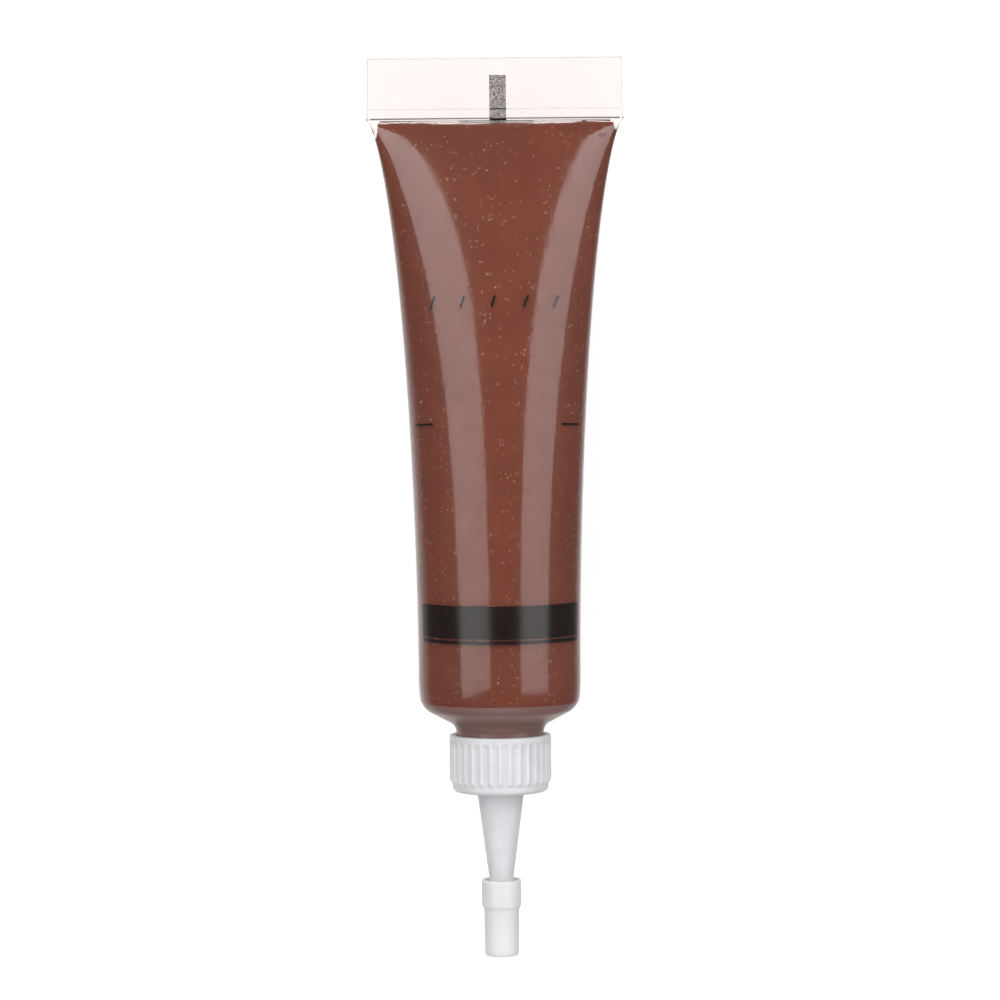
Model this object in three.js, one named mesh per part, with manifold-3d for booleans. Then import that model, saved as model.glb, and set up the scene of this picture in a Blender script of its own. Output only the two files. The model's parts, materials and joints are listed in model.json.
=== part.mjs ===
// A squeeze tube of wood repair paste lying on its belly: a clear sleeve with a pressed flat tail,
// a moulded head with a threaded neck, the paste inside, a foil disc over the mouth, a ribbed collar
// that screws a long spout onto the neck, and a push-on cap over the spout's tip.
// Millimetres, +Z up. The tube's axis runs along Y, with the tail at +Y and the spout at -Y.

import * as THREE from 'three';
import { mergeVertices } from 'three/addons/utils/BufferGeometryUtils.js';
import Module from 'manifold-3d';

const wasm = await Module();
wasm.setup();

// Clear sleeve. Heights are measured from its joint with the head towards the tail.
const TUBE_DIAMETER = 22;
const TUBE_WALL = 0.5;
const SLEEVE_LENGTH = 86.3;
const STRAIGHT_HEIGHT = 2.6;
const SEAL_HEIGHT = 6.8;
const SEAL_THICKNESS = 0.8;
const SEAL_SPREAD = 0.44;
const HEEL_HEIGHT = 1.6;
const HEEL_ROOT = 0.3;
const BELLY_START = 8;
const BELLY_LENGTH = 46;

// How the sleeve widens towards the tail, and how boxy its flattened sections are. These have no unit.
const TAPER_EXPONENT = 0.65;
const TAPER_POWER = 1.69;
const ROUND_EXPONENT = 2;
const BOXINESS = 0.9;
const BOXINESS_POWER = 4.5;

// Moulded head: a skirt inside the sleeve, a rounded sloping shoulder and a threaded neck.
const SKIRT_LENGTH = 2.5;
const SKIRT_WALL = 0.8;
const RIM_INSET = 0.1;
const RIM_HEIGHT = 0.1;
const RIM_ROUND = 2.6;
const SHOULDER_SLOPE_DEGREES = 25;
const NECK_FILLET = 1.5;
const NECK_LENGTH = 5.2;
const NECK_SHOWING = 0.55;
const LAND_LENGTH = 1.7;
const LAND_STEP = 0.4;
const NECK_WALL = 1.75;

// Thread on the neck, matched by the one inside the collar.
const THREAD_DIAMETER = 11.1;
const THREAD_DEPTH = 0.8;
const THREAD_PITCH = 1.6;
const THREAD_ROOT_WIDTH = 0.7;
const THREAD_CREST_WIDTH = 0.3;
const THREAD_EMBED = 0.2;
const THREAD_RUNOUT_TURNS = 0.2;

// Foil disc over the mouth.
const FOIL_THICKNESS = 0.2;
const FOIL_MARGIN = 0.15;

// Ribbed collar that holds the spout on the neck.
const COLLAR_WALL = 0.67;
const COLLAR_END_WALL = 1.3;
const COLLAR_BAND_HEIGHT = 1.25;
const COLLAR_EDGE = 0.2;
const RIB_COUNT = 32;
const RIB_DEPTH = 0.3;
const RIB_ROOT_WIDTH = 0.55;
const RIB_CREST_WIDTH = 0.25;
const FOOT_STEP = 0.57;
const FOOT_HEIGHT = 1.2;
const FOOT_ROUND = 0.5;

// Spout, from the collar's outer face to its tip, with a base flange under the collar.
const SPOUT_LENGTH = 18.7;
const SPOUT_ROOT_DIAMETER = 6.08;
const SPOUT_TIP_DIAMETER = 1.55;
const SPOUT_ROOT_WALL = 0.94;
const SPOUT_TIP_WALL = 0.375;
const FLANGE_THICKNESS = 0.9;

// Cap pushed over the spout's tip.
const CAP_OVERLAP = 6.85;
const CAP_END_WALL = 3.2;
const CAP_RIM_HEIGHT = 3.55;
const CAP_RIM_WALL = 0.4;
const CAP_WALL = 1;
const CAP_FLARE = 0.5;
const CAP_FLARE_HEIGHT = 0.6;
const CAP_STEP_HEIGHT = 0.4;
const CAP_DRAFT = 0.1;
const CAP_ROUND = 0.35;

// Clearances between pieces.
const SKIRT_CLEARANCE = 0.2;
const FILL_CLEARANCE = 0.2;
const SEAT_CLEARANCE = 0.2;
const THREAD_CLEARANCE = 0.25;
const COLLAR_CLEARANCE = 0.2;
const CAP_CLEARANCE = 0.15;

// Least half thickness of the cavity and of the paste where they close under the tail.
const CAVITY_EDGE = 0.1;
const PASTE_EDGE = 0.15;

// How finely round forms are cut into flats.
const SLEEVE_SIDES = 40;
const SLEEVE_ROWS = 15;
const ROW_CROWDING = 1.6;
const TURNED_SIDES = 40;
const SLIM_SIDES = 24;
const ARC_STEPS = 4;
const THREAD_STEPS_PER_TURN = 28;
const GIRTH_SAMPLES = 400;
const SOLVER_STEPS = 60;
const CUT_OVERRUN = 1;

// Worked-out sizes of the sleeve.
const tubeRadius = TUBE_DIAMETER / 2;
const girth = Math.PI * TUBE_DIAMETER;
const sealWidth = girth / 2 + SEAL_SPREAD;
const heelThickness = 2 * TUBE_WALL;
const heelTop = SLEEVE_LENGTH - SEAL_HEIGHT;
const bodyTop = heelTop - HEEL_HEIGHT;

// Worked-out sizes of the head, the neck and the nozzle that sits on it.
const slope = THREE.MathUtils.degToRad(SHOULDER_SLOPE_DEGREES);
const turnOfRim = Math.PI / 2 - slope;
const rimTop = -SEAT_CLEARANCE;
const rimRadius = tubeRadius - RIM_INSET;
const rimCentre = new THREE.Vector2(rimRadius - RIM_ROUND, rimTop - RIM_HEIGHT);
const skirtRadius = tubeRadius - TUBE_WALL - SKIRT_CLEARANCE;
const threadRadius = THREAD_DIAMETER / 2;
const neckRadius = threadRadius + LAND_STEP;
const neckCoreRadius = threadRadius - THREAD_DEPTH;
const mouthRadius = neckCoreRadius - NECK_WALL;
const shoulderRun = rimCentre.x + RIM_ROUND * Math.cos(turnOfRim)
  - (neckRadius + NECK_FILLET * (1 - Math.cos(turnOfRim)));
const shoulderDrop = (RIM_ROUND + NECK_FILLET) * Math.sin(turnOfRim) + shoulderRun * Math.tan(slope);
const neckTop = rimCentre.y - shoulderDrop;
const landEnd = neckTop - LAND_LENGTH;
const neckEnd = neckTop - NECK_LENGTH;

const foilTop = neckEnd - SEAT_CLEARANCE;
const flangeTop = foilTop - FOIL_THICKNESS - SEAT_CLEARANCE;
const collarEnd = flangeTop - FLANGE_THICKNESS - SEAT_CLEARANCE - COLLAR_END_WALL;
const collarLength = neckTop - NECK_SHOWING - collarEnd;
const collarThreadRadius = threadRadius + THREAD_CLEARANCE;
const collarThreadCrest = collarThreadRadius - THREAD_DEPTH;

const spoutRootRadius = SPOUT_ROOT_DIAMETER / 2;
const spoutTipRadius = SPOUT_TIP_DIAMETER / 2;
const capRim = collarEnd - SPOUT_LENGTH + CAP_OVERLAP;

// Runs a bisection between two values, moving the low end up while the test holds.
function bisect(low, high, staysLow) {
  for (let step = 0; step < SOLVER_STEPS; step += 1) {
    const middle = (low + high) / 2;
    if (staysLow(middle)) {
      low = middle;
    } else {
      high = middle;
    }
  }
  return (low + high) / 2;
}

// Point of a superellipse |x/a|^n + |z/b|^n = 1 at a turning angle.
function sectionPoint(halfWidth, halfThickness, exponent, angle) {
  const across = Math.cos(angle);
  const up = Math.sin(angle);
  return new THREE.Vector2(
    halfWidth * Math.sign(across) * Math.abs(across) ** (2 / exponent),
    halfThickness * Math.sign(up) * Math.abs(up) ** (2 / exponent),
  );
}

// Distance round a superellipse, as four times the chord sum of one quarter.
function sectionGirth(halfWidth, halfThickness, exponent) {
  let sum = 0;
  let last = sectionPoint(halfWidth, halfThickness, exponent, 0);
  for (let i = 1; i <= GIRTH_SAMPLES; i += 1) {
    const next = sectionPoint(halfWidth, halfThickness, exponent, (Math.PI / 2) * (i / GIRTH_SAMPLES));
    sum += last.distanceTo(next);
    last = next;
  }
  return 4 * sum;
}

// Outer section of the sleeve at a height. It is round at the head and spreads towards the tail,
// and its thickness is what keeps the girth the same, because the wall bends and doesn't stretch.
function sleeveSection(height) {
  const run = bodyTop - STRAIGHT_HEIGHT;
  const share = THREE.MathUtils.clamp((bodyTop - height) / run, 0, 1);
  const spread = (1 - share ** TAPER_EXPONENT) ** TAPER_POWER;
  const halfWidth = tubeRadius + (sealWidth / 2 - tubeRadius) * spread;
  const exponent = ROUND_EXPONENT + BOXINESS * (1 - share) ** BOXINESS_POWER;
  const fitted = bisect(0, tubeRadius, (b) => sectionGirth(halfWidth, b, exponent) < girth);
  return { halfWidth, exponent, halfThickness: Math.max(fitted, heelThickness / 2) };
}

// Height at which the sleeve's half thickness is as given.
function heightOfThickness(halfThickness) {
  return bisect(0, bodyTop, (height) => sleeveSection(height).halfThickness > halfThickness);
}

// The plane that the tube rests on. It touches the sleeve at both ends of the belly, and the soft wall
// between them settles flat on it.
const bellyDepth = sleeveSection(BELLY_START).halfThickness;
const bellyRise = bellyDepth - sleeveSection(BELLY_START + BELLY_LENGTH).halfThickness;
const restSlope = bellyRise / BELLY_LENGTH;
const restTilt = Math.atan(restSlope);

function restLevel(height) {
  return restSlope * (height - BELLY_START) - bellyDepth;
}

// One ring of the sleeve's section at a height, drawn in by an inset and flattened on the rest plane.
function sleeveRing(height, inset) {
  const { halfWidth, halfThickness, exponent } = sleeveSection(height);
  const floor = restLevel(height) + inset;
  return Array.from({ length: SLEEVE_SIDES }, (_, side) => {
    const angle = (2 * Math.PI * side) / SLEEVE_SIDES;
    const point = sectionPoint(halfWidth - inset, halfThickness - inset, exponent, angle);
    return new THREE.Vector3(point.x, height, Math.max(point.y, floor));
  });
}

// Rings between two heights, closer together near the upper one.
function sleeveRings(low, high, inset) {
  return Array.from({ length: SLEEVE_ROWS + 1 }, (_, row) => {
    const share = (1 - row / SLEEVE_ROWS) ** ROW_CROWDING;
    return sleeveRing(high - (high - low) * share, inset);
  });
}

// A closed form from rings of equal count, with a fan over each end.
function loft(rings) {
  const sides = rings[0].length;
  const points = rings.flat();
  const lastStart = points.length - sides;
  const centreOf = (ring) => ring
    .reduce((sum, point) => sum.add(point), new THREE.Vector3())
    .divideScalar(sides);
  points.push(centreOf(rings[0]), centreOf(rings[rings.length - 1]));
  const lowCentre = points.length - 2;
  const highCentre = points.length - 1;
  const faces = [];
  for (let side = 0; side < sides; side += 1) {
    const next = (side + 1) % sides;
    for (let start = 0; start < lastStart; start += sides) {
      const above = start + sides;
      faces.push(start + side, above + side, start + next);
      faces.push(start + next, above + side, above + next);
    }
    faces.push(lowCentre, side, next);
    faces.push(highCentre, lastStart + next, lastStart + side);
  }
  return new THREE.BufferGeometry().setFromPoints(points).setIndex(faces);
}

// A solid for joining and cutting, from a closed geometry.
function solid(geometry) {
  const bare = geometry.clone();
  bare.deleteAttribute('normal');
  bare.deleteAttribute('uv');
  const merged = mergeVertices(bare);
  return new wasm.Manifold(new wasm.Mesh({
    numProp: 3,
    vertProperties: new Float32Array(merged.getAttribute('position').array),
    triVerts: new Uint32Array(merged.getIndex().array),
  }));
}

// The geometry of a joined or cut solid.
function geometryOf(body) {
  const mesh = body.getMesh();
  const geometry = new THREE.BufferGeometry();
  geometry.setAttribute('position', new THREE.BufferAttribute(mesh.vertProperties, 3));
  geometry.setIndex(new THREE.BufferAttribute(mesh.triVerts, 1));
  geometry.computeVertexNormals();
  return geometry;
}

// Points of an arc in a profile, both ends included.
function arc(centre, radius, from, to) {
  return Array.from({ length: ARC_STEPS + 1 }, (_, step) => {
    const angle = from + ((to - from) * step) / ARC_STEPS;
    return new THREE.Vector2(centre.x + radius * Math.cos(angle), centre.y + radius * Math.sin(angle));
  });
}

function at(radius, height) {
  return new THREE.Vector2(radius, height);
}

// Turns a closed ring profile, listed with rising height on its outer side, about the tube's axis.
function turnRing(profile, sides) {
  return new THREE.LatheGeometry([...profile, profile[0]], sides);
}

// A helical ridge on a round wall, right-handed about +Y, whose middle passes a height of origin at +Z.
// The crest may stand outside the wall or inside it, and it sinks into the wall at both ends.
function threadRidge({ origin, low, high, wall, crest }) {
  const outward = Math.sign(crest - wall);
  const firstTurn = (low - origin) / THREAD_PITCH;
  const turns = (high - low) / THREAD_PITCH;
  const steps = Math.ceil(turns * THREAD_STEPS_PER_TURN);
  const root = wall - outward * THREAD_EMBED;
  const points = [];
  for (let step = 0; step <= steps; step += 1) {
    const turn = (turns * step) / steps;
    const rise = Math.min(1, turn / THREAD_RUNOUT_TURNS, (turns - turn) / THREAD_RUNOUT_TURNS);
    const angle = 2 * Math.PI * (firstTurn + turn);
    const height = low + THREAD_PITCH * turn;
    const top = wall + (crest - wall) * rise - outward * (THREAD_EMBED / 2) * (1 - rise);
    const section = [
      [root, -THREAD_ROOT_WIDTH / 2],
      [top, -THREAD_CREST_WIDTH / 2],
      [top, THREAD_CREST_WIDTH / 2],
      [root, THREAD_ROOT_WIDTH / 2],
    ];
    for (const [radius, offset] of section) {
      points.push(new THREE.Vector3(radius * Math.sin(angle), height + offset, radius * Math.cos(angle)));
    }
  }
  const corners = 4;
  const last = steps * corners;
  const faces = [0, 1, 2, 0, 2, 3, last, last + 2, last + 1, last, last + 3, last + 2];
  for (let start = 0; start < last; start += corners) {
    for (let corner = 0; corner < corners; corner += 1) {
      const next = (corner + 1) % corners;
      const ahead = start + corners;
      faces.push(start + corner, ahead + corner, start + next);
      faces.push(start + next, ahead + corner, ahead + next);
    }
  }
  if (outward < 0) {
    faces.reverse();
  }
  return new THREE.BufferGeometry().setFromPoints(points).setIndex(faces);
}

// Inner profile of the head below its skirt, down to the neck's end, drawn in by a gap.
function headHollow(gap) {
  const inside = skirtRadius - SKIRT_WALL;
  const mouth = mouthRadius - gap;
  const turned = arc(rimCentre, inside - rimCentre.x - gap, 0, -turnOfRim);
  const slopeStart = turned[turned.length - 1];
  const mouthTop = slopeStart.y - (slopeStart.x - mouth) * Math.tan(slope);
  return [...turned, at(mouth, mouthTop), at(mouth, neckEnd)];
}

// The clear sleeve: the spread body with its pressed tail plate, hollowed from the head's end.
function sleeveGeometry() {
  const plateSide = new THREE.Shape([
    at(-heelThickness / 2, bodyTop - HEEL_ROOT),
    at(heelThickness / 2, bodyTop - HEEL_ROOT),
    at(heelThickness / 2, heelTop),
    at(SEAL_THICKNESS / 2, heelTop),
    at(SEAL_THICKNESS / 2, SLEEVE_LENGTH),
    at(-SEAL_THICKNESS / 2, SLEEVE_LENGTH),
    at(-SEAL_THICKNESS / 2, heelTop),
    at(-heelThickness / 2, heelTop),
  ]);
  const plate = new THREE.ExtrudeGeometry(plateSide, { depth: sealWidth, bevelEnabled: false, steps: 1 })
    .translate(0, 0, -sealWidth / 2)
    .rotateY(Math.PI / 2);
  const body = loft(sleeveRings(0, bodyTop, 0));
  const hollowTop = heightOfThickness(TUBE_WALL + CAVITY_EDGE);
  const openEnd = sleeveRing(0, TUBE_WALL).map((point) => point.setY(-CUT_OVERRUN));
  const hollow = loft([openEnd, ...sleeveRings(0, hollowTop, TUBE_WALL)]);
  return geometryOf(solid(body).add(solid(plate)).subtract(solid(hollow)));
}

// The moulded head: skirt, shoulder, neck with its land and thread, and the hollow down to the mouth.
function headGeometry() {
  const inside = skirtRadius - SKIRT_WALL;
  const filletCentre = at(neckRadius + NECK_FILLET, neckTop);
  const outer = [
    at(skirtRadius, SKIRT_LENGTH),
    at(skirtRadius, rimTop),
    at(rimRadius, rimTop),
    ...arc(rimCentre, RIM_ROUND, 0, -turnOfRim),
    ...arc(filletCentre, NECK_FILLET, Math.PI - turnOfRim, Math.PI),
    at(neckRadius, landEnd),
    at(neckCoreRadius, landEnd),
    at(neckCoreRadius, neckEnd),
  ];
  const profile = [...outer.reverse(), at(inside, SKIRT_LENGTH), ...headHollow(0)];
  const thread = threadRidge({
    origin: landEnd,
    low: neckEnd + THREAD_ROOT_WIDTH / 2 + SEAT_CLEARANCE,
    high: landEnd - THREAD_ROOT_WIDTH / 2 - SEAT_CLEARANCE,
    wall: neckCoreRadius,
    crest: threadRadius,
  });
  return geometryOf(solid(turnRing(profile, TURNED_SIDES)).add(solid(thread)));
}

// The paste: it follows the sleeve's cavity up to the tail and the head's hollow down to the mouth.
function pasteGeometry() {
  const inset = TUBE_WALL + FILL_CLEARANCE;
  const low = SKIRT_LENGTH + FILL_CLEARANCE;
  const inSleeve = loft(sleeveRings(low, heightOfThickness(inset + PASTE_EDGE), inset));
  const inHead = headHollow(FILL_CLEARANCE).reverse();
  const widest = inHead[inHead.length - 1].x;
  const top = low + CUT_OVERRUN;
  const plug = [at(0, neckEnd), ...inHead, at(widest, top), at(0, top)];
  return geometryOf(solid(inSleeve).add(solid(new THREE.LatheGeometry(plug, TURNED_SIDES))));
}

// The foil disc, its upper face at zero height.
function foilGeometry() {
  const radius = neckCoreRadius - FOIL_MARGIN;
  return new THREE.CylinderGeometry(radius, radius, FOIL_THICKNESS, TURNED_SIDES)
    .translate(0, -FOIL_THICKNESS / 2, 0);
}

// Outline of the ribbed stretch: narrow ridges with flat crests, standing on a round wall.
function ribbedOutline(valleyRadius, crestRadius) {
  const outline = [];
  const rootHalf = RIB_ROOT_WIDTH / 2 / valleyRadius;
  const crestHalf = RIB_CREST_WIDTH / 2 / crestRadius;
  const corners = [
    [valleyRadius, -rootHalf],
    [crestRadius, -crestHalf],
    [crestRadius, crestHalf],
    [valleyRadius, rootHalf],
  ];
  for (let rib = 0; rib < RIB_COUNT; rib += 1) {
    const middle = (2 * Math.PI * rib) / RIB_COUNT;
    for (const [radius, turn] of corners) {
      outline.push(at(radius * Math.cos(middle + turn), radius * Math.sin(middle + turn)));
    }
  }
  return new THREE.Shape(outline);
}

// The ribbed collar, with zero height at its outer end face and the rim towards the tube.
function collarGeometry() {
  const counterbore = neckRadius + COLLAR_CLEARANCE;
  const crestRadius = counterbore + COLLAR_WALL;
  const valleyRadius = crestRadius - RIB_DEPTH;
  const footRadius = crestRadius - FOOT_STEP;
  const bandStart = collarLength - COLLAR_BAND_HEIGHT;
  const counterboreStart = landEnd - SEAT_CLEARANCE - collarEnd;
  const hole = spoutRootRadius + COLLAR_CLEARANCE;
  const footCentre = at(footRadius - FOOT_ROUND, FOOT_ROUND);
  const wall = new THREE.LatheGeometry([
    at(0, 0),
    ...arc(footCentre, FOOT_ROUND, -Math.PI / 2, 0),
    at(footRadius, FOOT_HEIGHT),
    at(counterbore, FOOT_HEIGHT),
    at(counterbore, bandStart),
    at(crestRadius, bandStart),
    at(crestRadius, collarLength - COLLAR_EDGE),
    at(crestRadius - COLLAR_EDGE, collarLength),
    at(0, collarLength),
  ], TURNED_SIDES);
  const ribs = new THREE.ExtrudeGeometry(ribbedOutline(valleyRadius, crestRadius), {
    depth: bandStart + COLLAR_EDGE - FOOT_HEIGHT,
    bevelEnabled: false,
    steps: 1,
  }).rotateX(-Math.PI / 2).translate(0, FOOT_HEIGHT, 0);
  const cut = new THREE.LatheGeometry([
    at(0, -CUT_OVERRUN),
    at(hole, -CUT_OVERRUN),
    at(hole, COLLAR_END_WALL),
    at(collarThreadRadius, COLLAR_END_WALL),
    at(collarThreadRadius, counterboreStart),
    at(counterbore, counterboreStart),
    at(counterbore, collarLength + CUT_OVERRUN),
    at(0, collarLength + CUT_OVERRUN),
  ], TURNED_SIDES);
  const thread = threadRidge({
    origin: landEnd + THREAD_PITCH / 2 - collarEnd,
    low: neckEnd - collarEnd,
    high: counterboreStart - THREAD_ROOT_WIDTH / 2,
    wall: collarThreadRadius,
    crest: collarThreadCrest,
  });
  return geometryOf(solid(wall).add(solid(ribs)).subtract(solid(cut)).add(solid(thread)));
}

// The spout, with zero height at the collar's outer face, its flange above and its tip below.
function spoutGeometry() {
  const flangeRadius = collarThreadCrest - THREAD_CLEARANCE;
  const flangeLow = COLLAR_END_WALL + SEAT_CLEARANCE;
  const flangeHigh = flangeLow + FLANGE_THICKNESS;
  return turnRing([
    at(spoutTipRadius - SPOUT_TIP_WALL, -SPOUT_LENGTH),
    at(spoutTipRadius, -SPOUT_LENGTH),
    at(spoutRootRadius, 0),
    at(spoutRootRadius, flangeLow),
    at(flangeRadius, flangeLow),
    at(flangeRadius, flangeHigh),
    at(spoutRootRadius - SPOUT_ROOT_WALL, flangeHigh),
  ], SLIM_SIDES);
}

// Radius of the spout's outside at a depth below the collar's outer face.
function spoutRadiusAt(depth) {
  return THREE.MathUtils.mapLinear(depth, 0, SPOUT_LENGTH, spoutRootRadius, spoutTipRadius);
}

// The tip cap, with zero height at its rim: a flared mouth, a socket of the spout's taper and a nose.
function capGeometry() {
  const rimDepth = SPOUT_LENGTH - CAP_OVERLAP;
  const socketRadius = (below) => spoutRadiusAt(rimDepth + below) + CAP_CLEARANCE;
  const socketDepth = CAP_OVERLAP + SEAT_CLEARANCE;
  const noseEnd = socketDepth + CAP_END_WALL;
  const rimRadiusOfCap = socketRadius(0) + CAP_FLARE + CAP_RIM_WALL;
  const bodyRadius = socketRadius(CAP_RIM_HEIGHT) + CAP_WALL;
  const noseRadius = bodyRadius - CAP_DRAFT;
  const noseCentre = at(noseRadius - CAP_ROUND, CAP_ROUND - noseEnd);
  return new THREE.LatheGeometry([
    at(0, -noseEnd),
    ...arc(noseCentre, CAP_ROUND, -Math.PI / 2, 0),
    at(bodyRadius, -CAP_RIM_HEIGHT - CAP_STEP_HEIGHT),
    at(rimRadiusOfCap, -CAP_RIM_HEIGHT),
    at(rimRadiusOfCap, 0),
    at(socketRadius(0) + CAP_FLARE, 0),
    at(socketRadius(CAP_FLARE_HEIGHT), -CAP_FLARE_HEIGHT),
    at(socketRadius(CAP_OVERLAP), -socketDepth),
    at(0, -socketDepth),
  ], SLIM_SIDES);
}

// A named mesh with its own material.
function piece(name, geometry, finish) {
  const mesh = new THREE.Mesh(geometry, new THREE.MeshStandardMaterial(finish));
  mesh.name = name;
  return mesh;
}

const clearFilm = { color: '#f4efec', roughness: 0.12, metalness: 0, transparent: true, opacity: 0.3 };
const milkyPlastic = { color: '#ece7e3', roughness: 0.3, metalness: 0, transparent: true, opacity: 0.55 };
const walnutPaste = { color: '#7a4636', roughness: 0.35, metalness: 0 };
const bareFoil = { color: '#c4c6c9', roughness: 0.3, metalness: 1 };
const whitePlastic = { color: '#dfdfe1', roughness: 0.4, metalness: 0 };

// The tube and what stays with it.
const tube = new THREE.Group();
const mouthFoil = piece('mouth_seal', foilGeometry(), bareFoil);
mouthFoil.position.y = foilTop;
tube.add(
  piece('tube_sleeve', sleeveGeometry(), clearFilm),
  piece('tube_head', headGeometry(), milkyPlastic),
  piece('repair_paste', pasteGeometry(), walnutPaste),
  mouthFoil,
);

// The nozzle that unscrews from the neck, with its cap.
const nozzle = new THREE.Group();
nozzle.position.y = collarEnd;
const tipCap = piece('tip_cap', capGeometry(), whitePlastic);
tipCap.position.y = capRim - collarEnd;
nozzle.add(
  piece('nozzle_collar', collarGeometry(), whitePlastic),
  piece('nozzle_spout', spoutGeometry(), whitePlastic),
  tipCap,
);

// The lying tube leans onto its belly, and its origin is the middle of its box on the floor.
const lying = new THREE.Group();
lying.rotation.x = -restTilt;
lying.add(tube, nozzle);
const box = new THREE.Box3().setFromObject(lying, true);
lying.position.y = -(box.min.y + box.max.y) / 2;
lying.position.z = -box.min.z;

const repairTube = new THREE.Group();
repairTube.add(lying);
repairTube.updateMatrixWorld(true);

export default repairTube;
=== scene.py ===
"""Looks of a squeeze tube of wood repair paste that lies on its belly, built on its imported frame.

Shapes are worked out in the tube's own frame, in millimetres: x across the flat tail, y along the tube
from the seam of sleeve and head towards the tail, z away from the floor. Placement carries them into the
shared frame, in metres.
"""

import json
import logging
import math
from dataclasses import dataclass
from enum import Enum
from typing import Any

import bpy
import numpy as np
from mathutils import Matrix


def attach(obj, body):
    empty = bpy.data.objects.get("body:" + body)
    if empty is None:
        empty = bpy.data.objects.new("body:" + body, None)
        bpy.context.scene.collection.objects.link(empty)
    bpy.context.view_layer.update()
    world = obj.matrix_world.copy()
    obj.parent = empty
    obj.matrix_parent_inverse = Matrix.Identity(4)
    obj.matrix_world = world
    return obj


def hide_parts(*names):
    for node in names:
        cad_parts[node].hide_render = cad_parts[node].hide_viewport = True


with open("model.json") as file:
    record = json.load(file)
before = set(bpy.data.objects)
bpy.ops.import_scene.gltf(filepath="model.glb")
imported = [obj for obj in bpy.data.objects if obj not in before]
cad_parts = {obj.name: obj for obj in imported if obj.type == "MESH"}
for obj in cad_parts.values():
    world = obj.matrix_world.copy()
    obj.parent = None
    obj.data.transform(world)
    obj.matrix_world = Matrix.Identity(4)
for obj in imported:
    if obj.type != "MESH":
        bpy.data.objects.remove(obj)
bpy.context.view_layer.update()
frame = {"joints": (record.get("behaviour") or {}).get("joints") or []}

LOG = logging.getLogger("repair_tube")
MM = 0.001
IMAGE_PIXELS = 1000
SENSOR_MM = 36.0
WHITE = (1.0, 1.0, 1.0, 1.0)
MIX_FACTOR, MIX_A, MIX_B, MIX_RESULT = 0, 6, 7, 2

Colour = tuple[float, float, float, float]
Socket = bpy.types.NodeSocket
Tree = bpy.types.NodeTree


class Cap(Enum):
    """How an end of a ringed surface is closed."""

    FAN = "triangles to the middle of a round end"
    ZIP = "quads across a flat end"
    LOOP = "the last ring joins the first"


def linear(colour: str) -> Colour:
    """Turns an sRGB hex colour into linear values.

    Args:
        colour: six hex digits after a hash sign.

    Returns:
        Linear red, green and blue, and an alpha of 1.
    """
    values = np.array([int(colour[i:i + 2], 16) for i in (1, 3, 5)]) / 255
    red, green, blue = np.where(values <= 0.04045, values / 12.92, ((values + 0.055) / 1.055) ** 2.4)
    return float(red), float(green), float(blue), 1.0


def add_node(tree: Tree, kind: str, inputs: dict[str | int, Any] | None = None,
             **settings: Any) -> bpy.types.Node:
    """Adds a shader node with its settings, socket values and links.

    Args:
        tree: the material's node tree.
        kind: Blender's name of the node type.
        inputs: a value, or an output socket to link, for each input socket.
        settings: the node's own properties.

    Returns:
        The new node.
    """
    node = tree.nodes.new(kind)
    for key, value in settings.items():
        setattr(node, key, value)
    for key, value in (inputs or {}).items():
        if isinstance(value, Socket):
            tree.links.new(value, node.inputs[key])
        else:
            node.inputs[key].default_value = value
    return node


def smooth_step(share: np.ndarray) -> np.ndarray:
    """Eases a share from 0 to 1 at both ends, its square times 3 less twice the share."""
    return share * share * (3 - 2 * share)


def turns(count: int, offset: float = 0.0) -> np.ndarray:
    """Gives equal angles once round, in radians, the first one a share of a step from zero."""
    return 2 * np.pi * (np.arange(count) + offset) / count


def arc(centre: tuple[float, float], radius: float, start: float, end: float, count: int = 14) -> np.ndarray:
    """Points of a circle's arc in a profile, centre plus radius times cosine and sine of the angle.

    Args:
        centre: radius and height of the circle's middle.
        radius: the circle's radius.
        start: first angle in degrees, from the outward direction.
        end: last angle in degrees.
        count: number of points.

    Returns:
        Rows of radius and height.
    """
    angle = np.radians(np.linspace(start, end, count))
    return np.stack([centre[0] + radius * np.cos(angle), centre[1] + radius * np.sin(angle)], axis=-1)


def rounded(profile: np.ndarray, radius: float, steps: int = 5, most: float = 0.45) -> np.ndarray:
    """Rounds every corner of a closed profile with a quadratic curve that the corner itself guides.

    Args:
        profile: rows of radius and height.
        radius: how far along each side the rounding reaches.
        steps: points for each corner.
        most: largest share of a side that the rounding takes.

    Returns:
        The rounded profile.
    """
    before, after = np.roll(profile, 1, axis=0) - profile, np.roll(profile, -1, axis=0) - profile
    sides = [(side, np.linalg.norm(side, axis=1, keepdims=True)) for side in (before, after)]
    start, end = (profile + side / length * np.minimum(radius, most * length) for side, length in sides)
    t = np.linspace(0, 1, steps)[None, :, None]
    curve = (1 - t) ** 2 * start[:, None] + 2 * t * (1 - t) * profile[:, None] + t ** 2 * end[:, None]
    return curve.reshape(-1, 2)


def turned(profile: np.ndarray, sides: int) -> np.ndarray:
    """Turns a profile about the tube's axis: x is the radius times the sine of the turn, z times the cosine.

    Args:
        profile: rows of radius and height, or one such profile for each side.
        sides: number of steps round the axis.

    Returns:
        A ring of points for each profile row.
    """
    turn = turns(sides)
    spread = profile[:, None] if profile.ndim == 2 else profile
    radius, height = spread[..., 0], spread[..., 1]
    return np.stack(np.broadcast_arrays(radius * np.sin(turn), height, radius * np.cos(turn)), axis=-1)


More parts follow.
